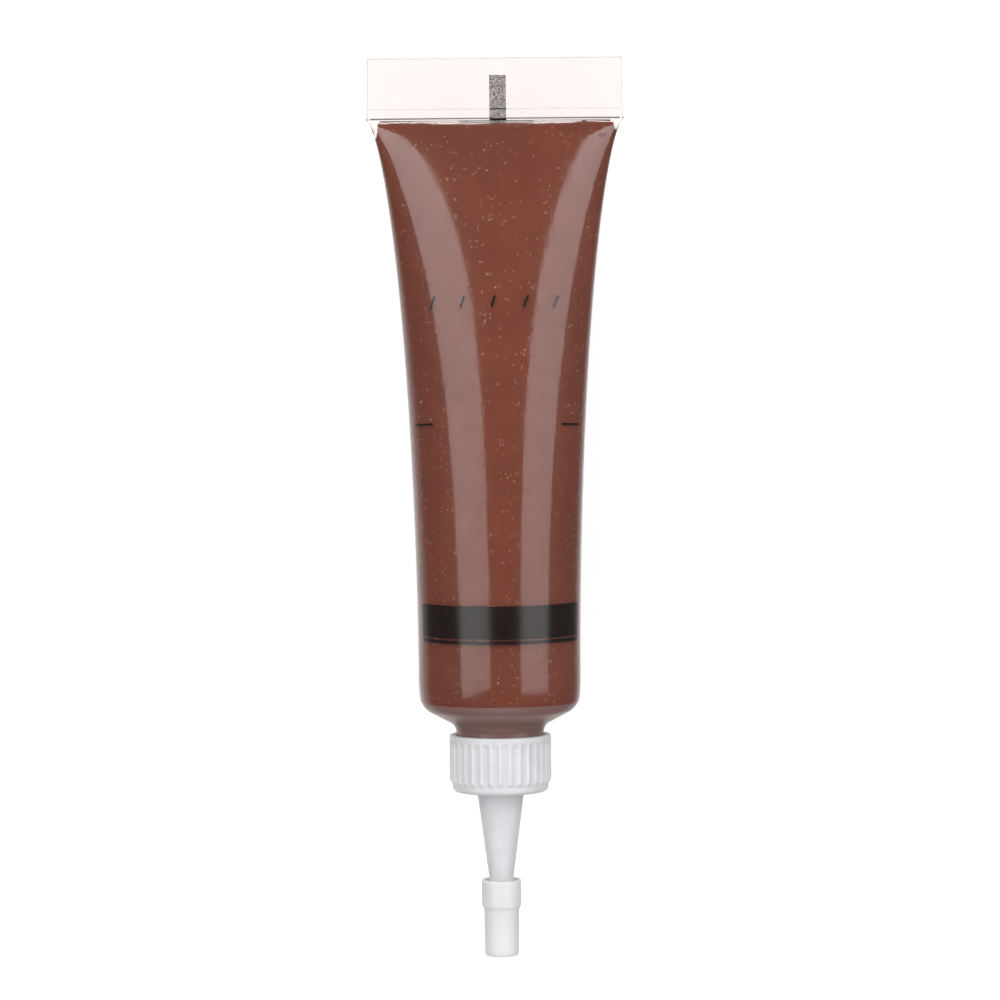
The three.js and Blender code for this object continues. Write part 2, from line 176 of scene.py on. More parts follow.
def skin(name: str, rings: np.ndarray, first: Cap, last: Cap, crease: float = 38.0) -> bpy.types.Object:
    """Makes a closed mesh from a grid of rings, with its faces turned outwards.

    Args:
        name: the piece's name.
        rings: points in metres, rows by columns, where the columns go round.
        first: how the first ring is closed.
        last: how the last ring is closed, LOOP only where the first is too.
        crease: angle in degrees past which an edge stays sharp.

    Returns:
        The new piece.
    """
    rows, cols = rings.shape[:2]
    grid = np.arange(rows * cols).reshape(rows, cols)
    low, high = (grid, np.roll(grid, -1, axis=0)) if first is Cap.LOOP else (grid[:-1], grid[1:])
    quads = [np.stack([low, np.roll(low, -1, 1), np.roll(high, -1, 1), high], -1).reshape(-1, 4)]
    points, tris = rings.reshape(-1, 3), [np.zeros((0, 3), int)]
    for cap, ring in ((first, grid[0][::-1]), (last, grid[-1])):
        if cap is Cap.FAN:
            tris.append(np.stack([ring, np.roll(ring, -1), np.full(cols, len(points))], -1))
            points = np.vstack([points, points[ring].mean(axis=0)])
        if cap is Cap.ZIP:
            near = np.arange(cols // 2 - 1)
            far = cols - 1 - near
            quads.append(np.stack([ring[near], ring[near + 1], ring[far - 1], ring[far]], -1))
    quad, tri = np.concatenate(quads), np.concatenate(tris)
    flat = np.concatenate([quad[:, :3], quad[:, [0, 2, 3]], tri])
    a, b, c = (points[flat[:, corner]] for corner in range(3))
    turn = -1 if np.einsum("ij,ij->", a, np.cross(b, c)) < 0 else 1
    mesh = bpy.data.meshes.new(name)
    mesh.from_pydata(points.tolist(), [], quad[:, ::turn].tolist() + tri[:, ::turn].tolist())
    mesh.shade_smooth()
    mesh.set_sharp_from_angle(angle=math.radians(crease))
    piece = bpy.data.objects.new(name, mesh)
    bpy.context.scene.collection.objects.link(piece)
    return piece


@dataclass(frozen=True)
class Placement:
    """Where the tube's own frame lies in the shared frame, in metres."""

    origin: np.ndarray
    along: np.ndarray
    up: np.ndarray

    @classmethod
    def on_joint(cls, joint: dict[str, Any], collar_end: float) -> "Placement":
        """Finds the tube's frame from the collar's hinge, which sits on the axis at the collar's end.

        Args:
            joint: the hinge, with its position and the axis that points out of the spout.
            collar_end: height of the collar's end in the tube's own frame, in millimetres.

        Returns:
            The placement.
        """
        along = -np.array(joint["axis"], float)
        along /= np.linalg.norm(along)
        origin = np.array(joint["pos_m"], float) - along * collar_end * MM
        return cls(origin, along, np.cross((1.0, 0.0, 0.0), along))

    def to_frame(self, points: np.ndarray) -> np.ndarray:
        """Carries points from the tube's own frame, in millimetres, into the shared frame."""
        axes = np.stack([np.array((1.0, 0.0, 0.0)), self.along, self.up])
        return self.origin + points @ axes * MM

    def floor(self, height: np.ndarray) -> np.ndarray:
        """Gives the floor's z in the tube's own frame at a height along the tube, in millimetres."""
        return -(self.origin[2] / MM + height * self.along[2]) / self.up[2]


@dataclass(frozen=True)
class Relief:
    """A height pattern of noise: width of its lumps, octaves of finer noise, depth, and the share used."""

    lump_mm: float
    detail: float
    depth_mm: float
    strength: float


@dataclass(frozen=True)
class Scatter:
    """Grains strewn as the cores of cells, and kept where a slow noise is high.

    Spacing is a cell's width, size a grain's radius as a share of it, and rarity the noise's value below
    which no grain is kept. A grain is full inside the core's share of its radius. The noise's lumps are
    drift cells wide, and its grains come in over the fade and reach the strength.
    """

    spacing_mm: float
    size: float
    rarity: float
    core: float = 0.5
    drift: float = 3.0
    detail: float = 2.0
    fade: float = 0.14
    strength: float = 0.7


@dataclass(frozen=True)
class Finish:
    """A surface's name and the settings of its shader that are the same all over it."""

    name: str
    roughness: float
    ior: float

    def start(self, **inputs: Any) -> tuple[bpy.types.Material, Tree, bpy.types.Node]:
        """Makes the material with its Principled shader.

        Args:
            inputs: further socket values, with underscores for the spaces in their names.

        Returns:
            The material, its node tree and the shader node.
        """
        material = bpy.data.materials.new(self.name)
        material.use_nodes = True
        tree = material.node_tree
        shader = tree.nodes["Principled BSDF"]
        values = {"Roughness": self.roughness, "IOR": self.ior}
        values |= {key.replace("_", " "): value for key, value in inputs.items()}
        for key, value in values.items():
            shader.inputs[key].default_value = value
        return material, tree, shader

    @staticmethod
    def noise(tree: Tree, size_mm: float, detail: float) -> Socket:
        """Gives a noise on object coordinates whose lumps are about a size across.

        Args:
            tree: the material's node tree.
            size_mm: width of a lump.
            detail: octaves of finer noise.

        Returns:
            The noise's value socket.
        """
        place = add_node(tree, "ShaderNodeTexCoord").outputs["Object"]
        inputs = {"Vector": place, "Scale": 1 / (size_mm * MM), "Detail": detail}
        return add_node(tree, "ShaderNodeTexNoise", inputs).outputs["Fac"]

    @staticmethod
    def between(tree: Tree, value: Socket, low: float, high: float,
                floor: float = 0.3, ceiling: float = 0.7) -> Socket:
        """Maps a value from its usual span to the wanted span.

        Args:
            tree: the material's node tree.
            value: the value to map.
            low: result at the floor.
            high: result at the ceiling.
            floor: lower end of the value's span.
            ceiling: upper end of the value's span.

        Returns:
            The mapped value's socket.
        """
        inputs = {"Value": value, "From Min": floor, "From Max": ceiling, "To Min": low, "To Max": high}
        return add_node(tree, "ShaderNodeMapRange", inputs).outputs["Result"]

    @staticmethod
    def press(tree: Tree, shader: bpy.types.Node, height: Socket, depth_mm: float, strength: float) -> None:
        """Presses a height pattern into the shading, on top of one that is there already.

        Args:
            tree: the material's node tree.
            shader: the shader whose normal is bent.
            height: the pattern.
            depth_mm: depth from its low to its high values.
            strength: share of the relief that is used.
        """
        inputs = {"Height": height, "Distance": depth_mm * MM, "Strength": strength}
        inputs |= {"Normal": link.from_socket for link in shader.inputs["Normal"].links}
        bump = add_node(tree, "ShaderNodeBump", inputs)
        tree.links.new(bump.outputs["Normal"], shader.inputs["Normal"])

    def roughen(self, tree: Tree, shader: bpy.types.Node, relief: Relief) -> None:
        """Presses a relief of noise into the shading."""
        height = self.noise(tree, relief.lump_mm, relief.detail)
        self.press(tree, shader, height, relief.depth_mm, relief.strength)

    def specks(self, tree: Tree, grains: Scatter) -> Socket:
        """Strews grains: the core of each cell, times a slow noise that chooses among them.

        Args:
            tree: the material's node tree.
            grains: how they are strewn.

        Returns:
            A mask's socket, 0 between the grains and up to their strength inside one.
        """
        place = add_node(tree, "ShaderNodeTexCoord").outputs["Object"]
        inputs = {"Vector": place, "Scale": 1 / (grains.spacing_mm * MM)}
        cells = add_node(tree, "ShaderNodeTexVoronoi", inputs).outputs["Distance"]
        core = self.between(tree, cells, 1.0, 0.0, grains.size * grains.core, grains.size)
        slow = self.noise(tree, grains.spacing_mm * grains.drift, grains.detail)
        chosen = self.between(tree, slow, 0.0, grains.strength, grains.rarity, grains.rarity + grains.fade)
        return add_node(tree, "ShaderNodeMath", {0: core, 1: chosen}, operation="MULTIPLY").outputs["Value"]

    @staticmethod
    def blend(tree: Tree, factor: Socket, first: Socket | Colour, second: Socket | Colour) -> Socket:
        """Mixes two colours, the first where the factor is 0 and the second where it is 1."""
        inputs = {MIX_FACTOR: factor, MIX_A: first, MIX_B: second}
        return add_node(tree, "ShaderNodeMix", inputs, data_type="RGBA").outputs[MIX_RESULT]


@dataclass(frozen=True)
class ClearFilm(Finish):
    """Blown low-density polyethylene film: clear and glossy, with a faint warm cast and a soft waviness."""

    name: str = "clear_polyethylene_film"
    roughness: float = 0.12
    ior: float = 1.51
    cast: str = "#fff5f2"
    gloss_mm: float = 2.2
    gloss_detail: float = 3.0
    gloss_span: tuple[float, float] = (0.75, 1.3)
    waves: Relief = Relief(7.0, 3.5, 0.12, 0.35)
    beads: Scatter = Scatter(0.9, 0.28, 0.47)
    bead_mm: float = 0.06

    def material(self) -> bpy.types.Material:
        """Makes the film: uneven gloss, waves that soften reflections, and fine beads that break them.

        Returns:
            The material.
        """
        material, tree, shader = self.start(Base_Color=linear(self.cast), Transmission_Weight=1.0)
        smooth, dull = (self.roughness * share for share in self.gloss_span)
        gloss = self.between(tree, self.noise(tree, self.gloss_mm, self.gloss_detail), smooth, dull)
        tree.links.new(gloss, shader.inputs["Roughness"])
        self.roughen(tree, shader, self.waves)
        self.press(tree, shader, self.specks(tree, self.beads), self.bead_mm, 1.0)
        return material


@dataclass(frozen=True)
class MilkyPlastic(Finish):
    """Injection-moulded polyethylene without pigment: milky, so what is behind it shows through a haze."""

    name: str = "natural_polyethylene"
    roughness: float = 0.3
    ior: float = 1.53
    colour: str = "#9d7b76"
    clearness: float = 0.43
    mould: Relief = Relief(0.6, 2.0, 0.02, 0.4)

    def material(self) -> bpy.types.Material:
        """Makes the moulding, with the fine unevenness of a moulded surface.

        Returns:
            The material.
        """
        look = {"Base_Color": linear(self.colour), "Transmission_Weight": self.clearness}
        material, tree, shader = self.start(**look)
        self.roughen(tree, shader, self.mould)
        return material


@dataclass(frozen=True)
class WalnutPaste(Finish):
    """Thick pigmented filler paste that wets the wall: an even brown, with pale grains in it."""

    name: str = "walnut_filler_paste"
    roughness: float = 0.5
    ior: float = 1.3
    brown: str = "#713927"
    deep: str = "#683323"
    grain: str = "#d0ab8e"
    drift_mm: float = 9.0
    drift_detail: float = 3.0
    coarse: Scatter = Scatter(1.5, 0.095, 0.4)
    fine: Scatter = Scatter(0.75, 0.13, 0.34)
    lumps: Relief = Relief(0.8, 3.0, 0.03, 0.3)

    def material(self) -> bpy.types.Material:
        """Makes the paste: two browns in slow drifts, and pale grains of two sizes.

        Returns:
            The material.
        """
        material, tree, shader = self.start()
        drift = self.between(tree, self.noise(tree, self.drift_mm, self.drift_detail), 0.0, 1.0)
        base = self.blend(tree, drift, linear(self.deep), linear(self.brown))
        both = {0: self.specks(tree, self.coarse), 1: self.specks(tree, self.fine)}
        speck = add_node(tree, "ShaderNodeMath", both, operation="MAXIMUM").outputs["Value"]
        tree.links.new(self.blend(tree, speck, base, linear(self.grain)), shader.inputs["Base Color"])
        self.roughen(tree, shader, self.lumps)
        return material


@dataclass(frozen=True)
class BareFoil(Finish):
    """Rolled aluminium foil: a bright metal with a faint crumple."""

    name: str = "aluminium_foil"
    roughness: float = 0.28
    ior: float = 1.5
    colour: str = "#c9cbce"
    crumple: Relief = Relief(1.6, 3.0, 0.06, 0.5)

    def material(self) -> bpy.types.Material:
        """Makes the foil, with a crumple a millimetre or two across.

        Returns:
            The material.
        """
        material, tree, shader = self.start(Base_Color=linear(self.colour), Metallic=1.0)
        self.roughen(tree, shader, self.crumple)
        return material


@dataclass(frozen=True)
class WhitePlastic(Finish):
    """Injection-moulded white polyethylene: a satin surface that light enters a little way."""

    name: str = "white_polyethylene"
    roughness: float = 0.38
    ior: float = 1.53
    colour: str = "#e1e1e4"
    shade: str = "#dadadd"
    flow_mm: float = 3.0
    flow_detail: float = 2.0
    softness: float = 0.5
    light_mm: float = 0.8
    clearness: float = 0.0
    mould: Relief = Relief(0.35, 2.0, 0.012, 0.5)

    def material(self) -> bpy.types.Material:
        """Makes the plastic, with slow flow marks in its colour and the grain of a worn mould.

        Returns:
            The material.
        """
        material, tree, shader = self.start(
            Subsurface_Weight=self.softness, Subsurface_Radius=(1.0, 1.0, 1.0),
            Subsurface_Scale=self.light_mm * MM, Transmission_Weight=self.clearness,
            Base_Color=linear(self.colour))
        if self.shade != self.colour:
            flow = self.between(tree, self.noise(tree, self.flow_mm, self.flow_detail), 0.0, 1.0)
            tone = self.blend(tree, flow, linear(self.shade), linear(self.colour))
            tree.links.new(tone, shader.inputs["Base Color"])
        self.roughen(tree, shader, self.mould)
        return material


@dataclass(frozen=True)
class CapPlastic(WhitePlastic):
    """Thin-walled white polyethylene: lets part of the light through, so the spout's tip shows inside it."""

    name: str = "thin_white_polyethylene"
    roughness: float = 0.42
    ior: float = 1.5
    colour: str = "#f0efed"
    shade: str = "#f0efed"
    softness: float = 1.0
    light_mm: float = 2.0
    clearness: float = 0.1


@dataclass(frozen=True)
class Coat(Finish):
    """A thin coat in two tones that follow a noise, full in one tone at each end of its span."""

    colour: str
    worn: str
    grain_mm: float
    detail: float = 3.0
    span: tuple[float, float] = (0.35, 0.65)

    def material(self) -> bpy.types.Material:
        """Makes the coat, uneven in density.

        Returns:
            The material.
        """
        material, tree, shader = self.start()
        density = self.between(tree, self.noise(tree, self.grain_mm, self.detail), 0.0, 1.0, *self.span)
        tone = self.blend(tree, density, linear(self.colour), linear(self.worn))
        tree.links.new(tone, shader.inputs["Base Color"])
        return material


@dataclass(frozen=True)
class PrintInk(Coat):
    """Screen-printed black ink on film: a thin dark coat, less glossy than the film round it."""

    name: str = "black_print_ink"
    roughness: float = 0.22
    ior: float = 1.48
    colour: str = "#170d0a"
    worn: str = "#201511"
    grain_mm: float = 0.9


@dataclass(frozen=True)
class PressedInk(Coat):
    """Black ink broken up by the hot press: grey from a step away, with the press's fine grain in it."""

    name: str = "pressed_print_ink"
    roughness: float = 0.22
    ior: float = 1.48
    colour: str = "#575352"
    worn: str = "#b6afae"
    grain_mm: float = 0.23


@dataclass(frozen=True)
class FrostedShadeLine(Coat):
    """Film roughened by the blade and by the edge of the press, with painted shade: a fine grey line where
    the cut edges and the pressed step darken the clear film.
    """

    name: str = "frosted_film_edge_shade"
    roughness: float = 0.6
    ior: float = 1.5
    # both tones are painted shade, a grey a little darker than the white seen through the film
    colour: str = "#d2cbc8"
    worn: str = "#e2dcd9"
    grain_mm: float = 0.5


@dataclass(frozen=True)
class WeldShadeLine(Coat):
    """Painted shade: a grey line on the film where the weld begins, for the shade where the film bends
    sharply and turns light away.
    """

    name: str = "weld_shadow_film"
    roughness: float = 0.4
    ior: float = 1.5
    # both tones are painted shade
    colour: str = "#77726f"
    worn: str = "#8d8885"
    grain_mm: float = 1.5


def settle(piece: bpy.types.Object, body: str, slot: str, material: bpy.types.Material, *nodes: str,
           clear: bool = False) -> None:
    """Dresses a piece and ties it to the frame.

    Args:
        piece: the new piece.
        body: the body that it rides on.
        slot: the record's material slot; not used.
        material: its finish.
        nodes: the CAD nodes that it stands for.
        clear: whether lamps and stray light pass it as through thin clear plastic.
    """
    piece.data.materials.append(material)
    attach(piece, body)
    if nodes:
        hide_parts(*nodes)
    if clear:
        piece.visible_shadow = False
        piece.visible_diffuse = False
    LOG.info("%s: %d faces on %s", piece.name, len(piece.data.polygons), body)


@dataclass(frozen=True)
class Mark:
    """A patch of ink, frosted film or painted shade on the film's upper face.

    It reaches from low to high along the tube and from left to right across it. Its upper end leans to the
    right, its outer face stands off the film by the lift, and its middle sags by the bow.
    """

    name: str
    low: float
    high: float
    left: float
    right: float
    lean: float = 0.0
    lift: float = 0.03
    bow: float = 0.0


@dataclass(frozen=True)
class Sleeve:
    """The clear squeezed sleeve, with its pressed tail, the paste inside it and the ink on it."""

    place: Placement
    radius: float = 11.0
    wall: float = 0.5
    length: float = 86.3
    straight: float = 2.6
    body_top: float = 77.9
    heel_top: float = 79.25
    heel_half: float = 0.5
    heel_rise: float = 0.25
    heel_exponent: float = 5.0
    heel_full: float = 0.6
    step_half: float = 0.08
    step_draw: float = 0.02
    seal_half: float = 0.4
    seal_spread: float = 0.44
    tail_draw: float = 0.06
    draw_top: float = 2.0
    wrap_centre: tuple[float, float] = (8.3, -0.3)
    wrap_round: float = 2.55
    wrap_start: float = 7.5
    wrap_angle: float = 18.5
    wrap_wall: float = 0.06
    wrap_fade: float = 7.0
    wrap_rows: int = 8
    taper_exponent: float = 0.65
    taper_power: float = 1.69
    boxiness: float = 0.9
    boxiness_power: float = 4.5
    plate_exponent: float = 9.0
    least_half: float = 0.02
    weld_gap: float = 0.1
    coarse_top: int = 60
    fine_start: float = 60.5
    fine_rows: int = 80
    girth_points: int = 401
    girth_rounds: int = 50
    film_rows: tuple[tuple[float, float, int], ...] = ((-0.5, 8.0, 28), (9.0, 58.0, 50), (59.0, 77.7, 54))
    tail_rows: tuple[float, ...] = (0, 0.12, 0.25, 0.45, 0.65, 1.0, 1.23, 1.27, 1.31, 1.35, 1.39, 1.43, 1.47,
                                    3, 5, 7, 8.1, 8.25, 8.33, 8.38)
    end_round: tuple[float, ...] = (0.05, 0.12, 0.25)
    paste_share: float = 0.7
    paste_lap: float = 0.11
    paste_top: float = 77.28
    paste_dip: float = 0.26
    dip_reach: float = 1.6
    dip_slope: float = 2.6
    ripples: tuple[tuple[float, float, float], ...] = ((0.05, 11, 0.6), (0.035, 23, 0.0), (0.02, 41, 2.0))
    void_left: tuple[float, float] = (2.4, 0.07)
    void_right: tuple[float, float] = (1.1, 0.05)
    void_power: float = 1.3
    paste_low_rows: int = 12
    paste_rows: int = 131
    paste_crowding: float = 1.8
    paste_crease: float = 60.0
    ink_root: float = 0.03
    ink_row: float = 0.12
    ink_column: float = 0.18
    ink_least: tuple[int, int] = (6, 8)
    ink_reach: float = 0.995
    frost_reach: float = 0.994
    frost_lift: float = 0.015
    frost_width: float = 0.16
    eye_lift: float = 0.045
    eye_sides: tuple[float, float] = (-0.68, 1.56)
    tick_places: tuple[float, ...] = (-8.54, -4.53, -0.43, 3.93, 7.93)
    tick_sides: tuple[float, float] = (0.41, 0.13)
    tick_lean: float = 0.54
    cols: int = 176

    def body_table(self) -> tuple[np.ndarray, ...]:
        """Works out the sleeve's sections from the seam to the tail's end.

        The half width grows from the radius to half the tail by (1 - share^p)^q, where share falls from 1
        to 0 along the body. The section is a superellipse whose exponent grows by a power of 1 - share.
        Its half thickness is found by bisection, so that the girth stays that of the round end.

        Returns:
            Heights, half widths, half thicknesses and exponents.
        """
        height = np.concatenate([np.linspace(0, self.coarse_top, self.coarse_top + 1),
                                 np.linspace(self.fine_start, self.body_top, self.fine_rows)])
        share = np.clip((self.body_top - height) / (self.body_top - self.straight), 0, 1)
        tail_half = (math.pi * self.radius + self.seal_spread) / 2
        spread = (1 - share ** self.taper_exponent) ** self.taper_power
        half = self.radius + (tail_half - self.radius) * spread
        exponent = 2 + self.boxiness * (1 - share) ** self.boxiness_power
        turn = np.linspace(0, np.pi / 2, self.girth_points)
        across = half[:, None] * np.cos(turn) ** (2 / exponent[:, None])
        rise = np.sin(turn) ** (2 / exponent[:, None])
        low, high = np.zeros_like(half), np.full_like(half, self.radius)
        for _ in range(self.girth_rounds):
            middle = (low + high) / 2
            girth = 4 * np.hypot(np.diff(across), np.diff(rise * middle[:, None])).sum(axis=1)
            small = girth < 2 * math.pi * self.radius
            low, high = np.where(small, middle, low), np.where(small, high, middle)
        thick = np.maximum(low, self.heel_half)
        plate = self.plate_exponent
        tail = np.array([
            (self.body_top + self.heel_rise, tail_half, self.heel_half, self.heel_exponent),
            (self.body_top + self.heel_full, tail_half, self.heel_half, plate),
            (self.heel_top - self.step_half, tail_half, self.heel_half, plate),
            (self.heel_top + self.step_half, tail_half - self.step_draw, self.seal_half, plate),
            (self.length, tail_half - self.tail_draw, self.seal_half, plate),
        ])
        columns = zip((height, half, thick, exponent), tail.T)
        return tuple(np.concatenate([body, end]) for body, end in columns)

    def section(self, height: np.ndarray) -> tuple[np.ndarray, np.ndarray, np.ndarray]:
        """Looks up the outer section at heights along the tube.

        Args:
            height: heights in millimetres.

        Returns:
            Half widths, half thicknesses and exponents.
        """
        heights, *columns = self.body_table()
        half, thick, exponent = (np.interp(height, heights, column) for column in columns)
        return half, thick, exponent

    def rings(self, height: np.ndarray, inset: np.ndarray | float) -> np.ndarray:
        """Rings of superellipse sections, drawn in by an inset and flattened where they meet the floor.

        Args:
            height: one height for each ring, or one for each point.
            inset: how far inside the outer face each ring lies.

        Returns:
            Points in the tube's own frame.
        """
        turn = turns(self.cols, 0.5)
        level = np.broadcast_to(height if np.ndim(height) == 2 else np.reshape(height, (-1, 1)),
                                (len(height), self.cols))
        inward = np.reshape(inset, (-1, 1)) if np.ndim(inset) == 1 else inset
        half, thick, exponent = self.section(level)
        across, rise = np.cos(turn), np.sin(turn)
        x = np.maximum(half - inward, self.least_half) * np.sign(across) * np.abs(across) ** (2 / exponent)
        z = np.maximum(thick - inward, self.least_half) * np.sign(rise) * np.abs(rise) ** (2 / exponent)
        return np.stack([x, level, np.maximum(z, self.place.floor(level) + inward)], axis=-1)

    def wall_at(self, height: np.ndarray) -> np.ndarray:
        """Gives the film's thickness, which falls by a smooth step towards the rim that it wraps."""
        share = np.clip(height / self.wrap_fade, 0, 1)
        return self.wrap_wall + (self.wall - self.wrap_wall) * smooth_step(share)

    def wrap(self, inside: float) -> np.ndarray:
        """Gives the film's rolled end as rows of radius and height, an arc drawn in by a depth."""
        radius = self.wrap_round - inside
        return arc(self.wrap_centre, radius, -self.wrap_start, -self.wrap_angle, self.wrap_rows)

    def draw_in(self, height: np.ndarray) -> np.ndarray:
        """Gives how far the film draws in above its rolled end, by the square of the way down to it.

        Args:
            height: heights in millimetres.

        Returns:
            Depths in millimetres.
        """
        end_radius, end_height = self.wrap(0.0)[0]
        share = np.clip((self.draw_top - height) / (self.draw_top - end_height), 0, 1)
        return (self.radius - end_radius) * share ** 2

    def hollow_top(self) -> float:
        """Gives the height where the two walls meet, just under the tail."""
        heights, _, thick, _ = self.body_table()
        return float(heights[thick > self.wall + self.weld_gap].max())

    def build_film(self) -> bpy.types.Object:
        """Builds the film as one closed skin, down the inside wall, round the rolled end and up to the tail.

        Rows of rings crowd where the wall turns: at the rolled end, the weld, the pressed step and the cut
        end, whose last rows are drawn in to round it.

        Returns:
            The film.
        """
        body = np.concatenate([np.linspace(*rows) for rows in self.film_rows])
        inside = body[body < self.hollow_top()][::-1]
        under, over = self.wrap(self.wrap_wall), self.wrap(0.0)[::-1]
        tail = np.append(self.body_top + np.array(self.tail_rows), self.length)
        height = np.concatenate([inside, under[:, 1], over[:, 1], body, tail])
        inset = np.concatenate([self.draw_in(inside) + self.wall_at(inside), self.radius - under[:, 0],
                                self.radius - over[:, 0], self.draw_in(body),
                                np.zeros(len(tail) - len(self.end_round)), self.end_round])
        return skin("sleeve_film", self.place.to_frame(self.rings(height, inset)), Cap.ZIP, Cap.ZIP)

    def paste_edge(self, share: np.ndarray) -> np.ndarray:
        """Height of the paste's upper edge across the tube.

        The edge is level at both sides and dips in the middle by a square root, with three slow ripples
        on it. At each corner it falls away by a power, where the paste doesn't reach into the fold.

        Args:
            share: place across the tube, from -1 to 1.

        Returns:
            Heights in millimetres.
        """
        dip = self.paste_dip * np.clip(self.dip_reach - self.dip_slope * np.abs(share), 0, 1) ** 0.5
        ripple = sum(size * np.sin(pace * share + start) for size, pace, start in self.ripples)
        edge = self.paste_top - dip + ripple
        for side, (depth, width) in ((-share, self.void_left), (share, self.void_right)):
            edge = edge - depth * np.clip((side - 1 + width) / width, 0, 1) ** self.void_power
        return edge

    def build_paste(self, plug: np.ndarray) -> bpy.types.Object:
        """Builds the paste as one closed skin.

        It fills the head's hollow, spills over the skirt into the thin gap round it as far as the film's
        rolled end, and fills the sleeve up to an uneven edge. Its rows crowd towards that edge by a power.

        Args:
            plug: profile of the paste in the head and over its skirt, as rows of radius and height.

        Returns:
            The paste.
        """
        turn = turns(self.cols, 0.5)
        film_side = self.wrap(self.wrap_wall * self.paste_share)[::-1]
        profile = np.concatenate([plug, self.wrap(self.paste_lap), film_side])
        radius, low = profile[:, :1], profile[:, 1:]
        head = np.stack(np.broadcast_arrays(radius * np.cos(turn), low, radius * np.sin(turn)), axis=-1)
        start = self.draw_top * np.linspace(0, 1, self.paste_low_rows)[:, None] + np.zeros(self.cols)
        climb = 1 - (1 - np.linspace(0, 1, self.paste_rows)[1:, None]) ** self.paste_crowding
        above = self.draw_top + (self.paste_edge(np.cos(turn)) - self.draw_top) * climb
        height = np.concatenate([start, above])
        fill = self.rings(height, self.draw_in(height) + self.paste_share * self.wall_at(height))
        points = self.place.to_frame(np.concatenate([head, fill]))
        return skin("paste_fill", points, Cap.FAN, Cap.ZIP, self.paste_crease)

    def build_mark(self, mark: Mark) -> bpy.types.Object:
        """Builds a patch of ink, or a line of painted shade, as a thin closed shell on the film's upper
        face.

        Points spread across by equal steps of an angle, with x the half width times its sine. Each lies on
        the superellipse, moved outwards or inwards along its normal by the ink's thickness. The bow is
        largest in the middle and falls by the square of the share across.

        Args:
            mark: the patch's name, ends, sides and form.

        Returns:
            The patch.
        """
        least_rows, least_columns = self.ink_least
        rows = max(least_rows, int((mark.high - mark.low) / self.ink_row))
        height = np.linspace(mark.low, mark.high, rows)[:, None]
        half, thick, exponent = self.section(height)
        middle_half = float(half.mean())
        count = max(least_columns, int((mark.right - mark.left) / self.ink_column))
        swing = np.linspace(math.asin(mark.left / middle_half), math.asin(mark.right / middle_half), count)
        shift = mark.lean * (height - mark.low) / (mark.high - mark.low)
        x = np.clip(half * np.sin(swing) + shift, -self.ink_reach * half, self.ink_reach * half)
        share = np.abs(x) / half
        z = thick * (1 - share ** exponent) ** (1 / exponent)
        normal = np.stack([np.sign(x) * share ** (exponent - 1) / half, 0 * x,
                           (z / thick) ** (exponent - 1) / thick], axis=-1)
        normal /= np.linalg.norm(normal, axis=-1, keepdims=True)
        face = np.stack([x, height - mark.bow * (1 - share ** 2), z], axis=-1)
        shell = np.concatenate([face + mark.lift * normal, (face - self.ink_root * normal)[:, ::-1]], axis=1)
        return skin(mark.name, self.place.to_frame(shell), Cap.ZIP, Cap.ZIP)

    def print_marks(self) -> list[Mark]:
        """Lists the plain printed marks: band, rule, dashes, two lines over the eye mark, and five ticks.

        Returns:
            The marks.
        """
        before, after = self.tick_sides
        ticks = [Mark(f"print_slash_{number}", 51.7, 53.3, middle - before, middle - after, self.tick_lean)
                 for number, middle in enumerate(self.tick_places, start=1)]
        return [
            Mark("print_band", 8.09, 12.43, -10.2, 10.5, bow=0.22),
            Mark("print_rule", 7.38, 7.82, -10.1, 10.4, bow=0.2),
            Mark("print_dash_left", 36.22, 36.48, -11.0, -8.65),
            Mark("print_dash_right", 36.12, 36.38, 8.57, 10.93),
            Mark("print_eye_foot", 77.64, 77.98, *self.eye_sides, lift=self.eye_lift),
            Mark("print_eye_line", 79.17, 79.33, *self.eye_sides, lift=self.eye_lift),
            *ticks,
        ]

    def frost_marks(self) -> list[Mark]:
        """Lists the tail's lines of painted shade: frosted ones at its cut edges and the pressed step, and a
        plain one at the weld's lower edge.

        Returns:
            The marks.
        """
        half, _, _ = self.section(np.array(self.length))
        side, lift = float(half) * self.frost_reach, self.frost_lift
        inner = side - self.frost_width
        return [
            # grey frosted lines of painted shade along the cut edges and the pressed step
            Mark("cut_edge_left", 78.2, 86.2, -side, -inner, lift=lift),
            Mark("cut_edge_right", 78.2, 86.2, inner, side, lift=lift),
            Mark("cut_edge_end", 86.06, 86.22, 0.1 - side, side - 0.1, lift=lift),
            Mark("press_step", 79.17, 79.31, -side, side, lift=lift),
            # a line of painted shade where the weld begins
            Mark("weld_shade_line", 77.86, 78.06, 0.4 - side, side - 0.4, lift=lift),
        ]

    def dress_wall(self, plug: np.ndarray) -> None:
        """Builds and dresses the film and the paste, which takes its profile in the head from a plug."""
        settle(self.build_film(), "tube", "clear_film", ClearFilm().material(), "tube_sleeve", clear=True)
        settle(self.build_paste(plug), "tube", "walnut_paste", WalnutPaste().material(), "repair_paste")

    def dress_marks(self) -> None:
        """Builds and dresses the tail's lines of painted shade, the printed marks and the eye mark."""
        frost_and_shade, weld, ink = FrostedShadeLine().material(), WeldShadeLine().material(), PrintInk().material()
        for mark in self.frost_marks():
            # the weld's line takes the plain painted shade, the cut edges and the step the frosted painted
            # shade
            settle(self.build_mark(mark), "tube", "clear_film", weld if mark.name == "weld_shade_line" else frost_and_shade)
        for mark in self.print_marks():
            settle(self.build_mark(mark), "tube", "clear_film", ink)
        eye = Mark("eye_mark", 77.3, 83.85, -0.74, 1.52)
        settle(self.build_mark(eye), "tube", "clear_film", PressedInk().material())


